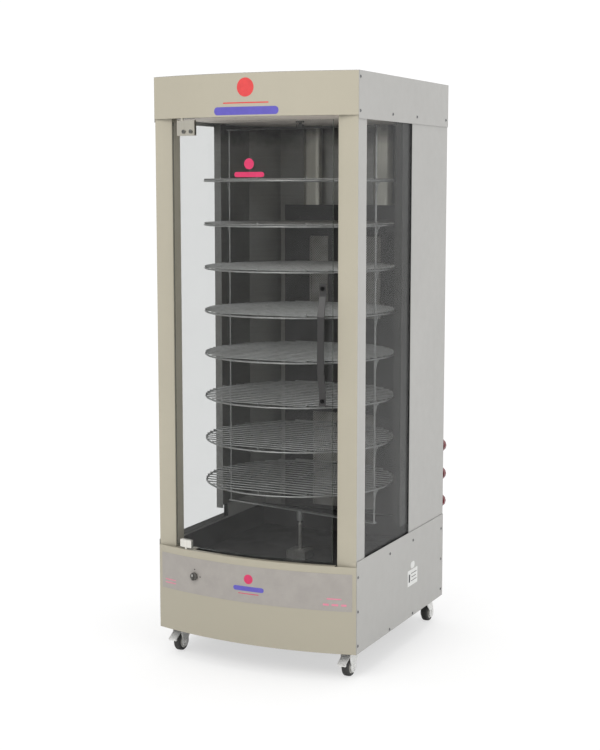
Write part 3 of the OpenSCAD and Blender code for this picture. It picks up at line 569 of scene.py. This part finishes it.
over_skin = on_bow(R_BOW + 0.00048)
oz = (over_lo.z + over_hi.z) / 2
plate("panel_mark_disc", disc(0.003, oz + 0.0165, 0.0150, 36), over_skin, 0.0002, "cabinet", ink_magenta, cut=0.01)
plate("panel_mark_bar", rounded(0.003, oz - 0.0135, 0.104, 0.0145, 0.007, 5), over_skin, 0.0002, "cabinet", ink_blue, cut=0.01)
plate("panel_mark_line", rounded(0.003, oz - 0.0290, 0.070, 0.0022, 0.001, 3), over_skin, 0.0002, "cabinet", ink_magenta, cut=0.01)
for i, (u, v, w, h) in enumerate([(-0.291, 0.2450, 0.044, 0.0032), (-0.291, 0.2350, 0.044, 0.0032),
                                  (0.274, 0.2530, 0.044, 0.0040), (0.250, 0.2350, 0.018, 0.006),
                                  (0.277, 0.2350, 0.020, 0.006), (0.303, 0.2350, 0.016, 0.006)]):
    plate("panel_note_%d" % (i + 1), rounded(u, v, w, h, min(h * 0.45, 0.0015), 3), over_skin, 0.0002, "cabinet", ink_pink, cut=0.01)

sw_lo, sw_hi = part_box("switch_knob")
sx, sz = (sw_lo.x + sw_hi.x) / 2, (sw_lo.z + sw_hi.z) / 2
for i, a in enumerate((90.0, 0.0)):
    plate("switch_dot_%d" % i, disc(sx + 0.021 * math.cos(math.radians(a)), sz + 0.021 * math.sin(math.radians(a)), 0.0022, 20),
          over_skin, 0.0002, "cabinet", ink_dark)
knob_front = sw_lo.y


def on_front(y):
    return lambda u, v, d: (u, y - d, v)


plate("switch_pointer", rounded(sx, sz + 0.0055, 0.0022, 0.0075, 0.001, 3), on_front(knob_front - 0.00002), 0.0002, "motor_switch", ink_white)

for i in (1, 2, 3):
    lo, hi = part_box("valve_knob_%d" % i)
    kx, kz, ky = (lo.x + hi.x) / 2, (lo.z + hi.z) / 2, hi.y
    plate("gas_pointer_%d" % i, rounded(kx, kz + 0.009, 0.003, 0.013, 0.0014, 3),
          (lambda y: (lambda u, v, d: (u, y + d, v)))(ky + 0.00002), 0.0002, "gas_knob_%d" % i, ink_white)

# plain mark on the door glass, printed on the outside face
glass_skin = on_bow(R_BOW - 0.003 + 0.00003)
gx, gz = 0.010, 1.537
plate("glass_mark_disc", disc(gx, gz, 0.0160, 36), glass_skin, 0.00015, "door", ink_magenta, cut=0.01)
plate("glass_mark_bar", rounded(gx, gz - 0.031, 0.098, 0.015, 0.007, 5), glass_skin, 0.00015, "door", ink_magenta, cut=0.01)

# blank rating plate and a blank tag on the right side of the base
side_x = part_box("base_side_right")[1].x
plate_mat = plastic("plate_white", lin(226, 226, 224), rough=0.4, bumps=0.05, wear=0.1)


def on_side(x):
    return lambda u, v, d: (x + d, u, v)


yc = 0.451 - 0.356
plate("data_plate", rounded(yc, 0.216, 0.085, 0.052, 0.003, 4), on_side(side_x + 0.00003), 0.0006, "cabinet", plate_mat)
plate("data_plate_mark", rounded(yc - 0.028, 0.216, 0.012, 0.026, 0.001, 3), on_side(side_x + 0.00065), 0.0002, "cabinet", ink_dark)
for i in range(3):
    plate("data_plate_row_%d" % i, rounded(yc + 0.010, 0.229 - 0.012 * i, 0.048 - 0.008 * (i % 2), 0.0022, 0.0009, 2),
          on_side(side_x + 0.00065), 0.0002, "cabinet", ink_dark)
plate("tag_oval", rounded(yc, 0.256, 0.034, 0.022, 0.0108, 8), on_side(side_x + 0.00003), 0.0005, "cabinet", plate_mat)

# cross recesses of the panel screws, laid on as thin near-black crosses of painted shade
recess_shade_mat = plastic("recess_shade", lin(30, 30, 31), rough=0.6)
for i, (lo, hi) in enumerate(islands("panel_screws")):
    cy_, cz_ = (lo[1] + hi[1]) / 2, (lo[2] + hi[2]) / 2
    right = hi[0] > 0
    x = hi[0] if right else lo[0]
    L, T = 0.0021, 0.00045
    cross = [[(cy_ - L, cz_ - T), (cy_ - T, cz_ - T), (cy_ - T, cz_ - L), (cy_ + T, cz_ - L), (cy_ + T, cz_ - T),
              (cy_ + L, cz_ - T), (cy_ + L, cz_ + T), (cy_ + T, cz_ + T), (cy_ + T, cz_ + L), (cy_ - T, cz_ + L),
              (cy_ - T, cz_ + T), (cy_ - L, cz_ + T)]]
    s = 1 if right else -1
    plate("screw_recess_%02d" % (i + 1), cross, (lambda x, s: (lambda u, v, d: (x + s * d, u, v)))(x - s * 0.00012, s),
          0.00016, "cabinet", recess_shade_mat)

# --------------------------------------------------------------- stage
floor_me = bpy.data.meshes.new("floor")
bm = bmesh.new()
bmesh.ops.create_grid(bm, x_segments=2, y_segments=2, size=40.0)
bm.to_mesh(floor_me)
bm.free()
floor = bpy.data.objects.new("floor", floor_me)
scene.collection.objects.link(floor)
floor.location = (0, 0, -0.0002)
g = Graph("floor_pale")
fcol = g.mix(g.span(g.noise(1.5, 3.0), 0.3, 0.7), (0.90, 0.90, 0.895, 1), (0.93, 0.93, 0.925, 1))
fp = g.surface(color=fcol, rough=0.75, normal=g.bump(g.noise(80.0, 3.0), 0.02, 0.001), spec=0.2)
far = g.add("ShaderNodeVectorMath", operation="LENGTH")
g.put(far.inputs[0], g.coord())
glow = g.add("ShaderNodeEmission")
glow.inputs["Strength"].default_value = 1.05
lp = g.add("ShaderNodeLightPath")
fm = g.add("ShaderNodeMixShader")
fade = g.span(far.outputs["Value"], 0.35, 1.4, 0.55, 1.0)
g.put(fm.inputs[0], g.math("MULTIPLY", fade, lp.outputs["Is Camera Ray"]))
g.t.links.new(fp.outputs[0], fm.inputs[1])
g.t.links.new(glow.outputs[0], fm.inputs[2])
g.t.links.new(fm.outputs[0], g.out.inputs["Surface"])
floor_me.materials.append(g.m)

world = bpy.data.worlds.new("studio")
scene.world = world
world.use_nodes = True
wt = world.node_tree
wt.nodes.clear()
wo = wt.nodes.new("ShaderNodeOutputWorld")
wb = wt.nodes.new("ShaderNodeBackground")
wl = wt.nodes.new("ShaderNodeLightPath")
wm = wt.nodes.new("ShaderNodeMixShader")
wc = wt.nodes.new("ShaderNodeBackground")
wb.inputs[0].default_value = (1.0, 1.0, 1.0, 1.0)
wb.inputs[1].default_value = 0.80
wc.inputs[0].default_value = (1.0, 1.0, 1.0, 1.0)
wc.inputs[1].default_value = 1.05
wt.links.new(wl.outputs["Is Camera Ray"], wm.inputs[0])
wt.links.new(wb.outputs[0], wm.inputs[1])
wt.links.new(wc.outputs[0], wm.inputs[2])
wt.links.new(wm.outputs[0], wo.inputs["Surface"])


def area(name, loc, aim, size, power, color=(1, 1, 1)):
    d = bpy.data.lights.new(name, "AREA")
    d.shape = "RECTANGLE"
    d.size, d.size_y = size
    d.energy = power
    d.color = color
    o = bpy.data.objects.new(name, d)
    scene.collection.objects.link(o)
    o.location = loc
    o.rotation_euler = (Vector(aim) - Vector(loc)).to_track_quat("-Z", "Y").to_euler()
    return o


area("key", (-0.4, -4.2, 4.2), (0, 0, 1.3), (2.6, 2.6), 78.0, (1.0, 0.99, 0.97))
area("fill", (4.2, -2.0, 2.6), (0, 0, 1.0), (3.0, 3.0), 34.0)
area("top", (0.0, 0.6, 4.6), (0, 0, 1.0), (3.5, 3.5), 40.0)

cam_d = bpy.data.cameras.new("camera")
cam = bpy.data.objects.new("camera", cam_d)
scene.collection.objects.link(cam)
cam.location = (2.0395, -4.2584, 1.4729)
yaw, pit = math.radians(25.80), math.radians(7.31)
d = Vector((-math.sin(yaw) * math.cos(pit), math.cos(yaw) * math.cos(pit), -math.sin(pit)))
cam.rotation_euler = d.to_track_quat("-Z", "Y").to_euler()
cam_d.lens = 70.75
cam_d.sensor_width = 36.0
cam_d.sensor_fit = "AUTO"
cam_d.clip_end = 200.0
scene.camera = cam

scene.view_settings.view_transform = "Standard"
scene.view_settings.look = "None"
scene.view_settings.exposure = 0.0
scene.view_settings.gamma = 1.0
scene.cycles.use_denoising = True
scene.cycles.max_bounces = 10
scene.cycles.transparent_max_bounces = 24
scene.cycles.caustics_reflective = False
scene.cycles.caustics_refractive = False
scene.cycles.sample_clamp_indirect = 6.0

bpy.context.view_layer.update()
